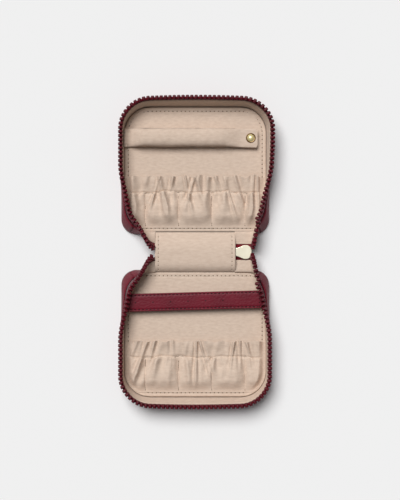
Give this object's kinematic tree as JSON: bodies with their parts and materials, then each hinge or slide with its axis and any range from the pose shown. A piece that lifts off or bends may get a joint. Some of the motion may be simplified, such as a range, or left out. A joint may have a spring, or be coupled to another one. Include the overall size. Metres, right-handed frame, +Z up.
{
  "type": "jewellery case",
  "caption": "Zip-around leather jewellery case lying open flat, with lined trays, gathered pockets, a ring roll and an earring strap.",
  "frame": {"origin": "on the table under the middle of the spine, halfway between the two trays", "axes": "+Z up, +X along the spine towards the zip slider, +Y from the base tray to the lid tray"},
  "size_m": [0.1034, 0.2118, 0.02],
  "materials": {
    "leather": "pebbled burgundy",
    "lining": "plain woven beige cotton",
    "zip_tape": "woven burgundy tape",
    "zip_teeth": "moulded burgundy",
    "gilt": "pale gilt, polished",
    "foam": "soft foam",
    "board": "grey board",
    "elastic": "woven elastic"
  },
  "bodies": {
    "base_tray": {"base_board": "board", "base_cover": "leather", "base_inner_panel": "lining", "base_left_gusset_end": "leather", "base_left_tape_end": "zip_tape", "base_left_teeth": "zip_teeth", "base_padding": "foam", "base_pocket": "lining", "base_pocket_elastic": "elastic", "base_right_gusset_end": "leather", "base_right_tape_end": "zip_tape", "base_right_teeth": "zip_teeth", "base_wall_leather": "leather", "base_wall_lining": "lining", "base_zip_tape": "zip_tape", "base_zip_teeth": "zip_teeth", "strap_anchor": "leather", "strap_snap_stud": "gilt", "strap_tab": "leather"},
    "lid_tray": {"lid_board": "board", "lid_cover": "leather", "lid_inner_panel": "lining", "lid_left_gusset_end": "leather", "lid_left_tape_end": "zip_tape", "lid_left_teeth": "zip_teeth", "lid_padding": "foam", "lid_pocket": "lining", "lid_pocket_elastic": "elastic", "lid_right_gusset_end": "leather", "lid_right_tape_end": "zip_tape", "lid_right_teeth": "zip_teeth", "lid_wall_leather": "leather", "lid_wall_lining": "lining", "lid_zip_tape": "zip_tape", "lid_zip_teeth": "zip_teeth", "ring_roll_anchor": "lining", "ring_snap_stud": "gilt"},
    "spine": {"spine_leather": "leather", "spine_lining": "lining", "zip_tail_tape": "zip_tape", "zip_bottom_stop": "gilt"},
    "slider": {"slider_body": "gilt", "slider_bail": "gilt"},
    "pull": {"zip_pull": "gilt"},
    "ring_roll": {"ring_roll_cover": "lining", "ring_roll_core": "foam", "ring_snap_cap": "gilt", "ring_snap_socket": "gilt"},
    "earring_strap": {"earring_strap": "leather", "strap_backing": "lining", "strap_snap_socket": "gilt"}
  },
  "joints": [
    {"name": "spine_fold", "type": "hinge", "parent": "base_tray", "child": "spine", "pos_m": [0, -0.0137, 0.0045], "axis": [1, 0, 0], "range_deg": [0, 90], "deforming": ["base_left_gusset_end", "base_right_gusset_end", "base_left_tape_end", "base_right_tape_end", "base_left_teeth", "base_right_teeth"]},
    {"name": "lid_fold", "type": "hinge", "parent": "spine", "child": "lid_tray", "pos_m": [0, 0.0137, 0.0045], "axis": [1, 0, 0], "range_deg": [0, 90], "deforming": ["lid_left_gusset_end", "lid_right_gusset_end", "lid_left_tape_end", "lid_right_tape_end", "lid_left_teeth", "lid_right_teeth"]},
    {"name": "slider_travel", "type": "slide", "parent": "spine", "child": "slider", "axis": [1, 0, 0], "range_m": [0, 0.014]},
    {"name": "pull_swing", "type": "hinge", "parent": "slider", "child": "pull", "pos_m": [0.0332, 0, 0.00205], "axis": [0, -1, 0], "range_deg": [0, 150]},
    {"name": "ring_roll_lift", "type": "hinge", "parent": "lid_tray", "child": "ring_roll", "pos_m": [-0.0462, 0.0783, 0.0084], "axis": [0, 1, 0], "range_deg": [-70, 0]},
    {"name": "earring_strap_lift", "type": "hinge", "parent": "base_tray", "child": "earring_strap", "pos_m": [-0.0473, -0.0333, 0.0108], "axis": [0, 1, 0], "range_deg": [-80, 0]}
  ]
}
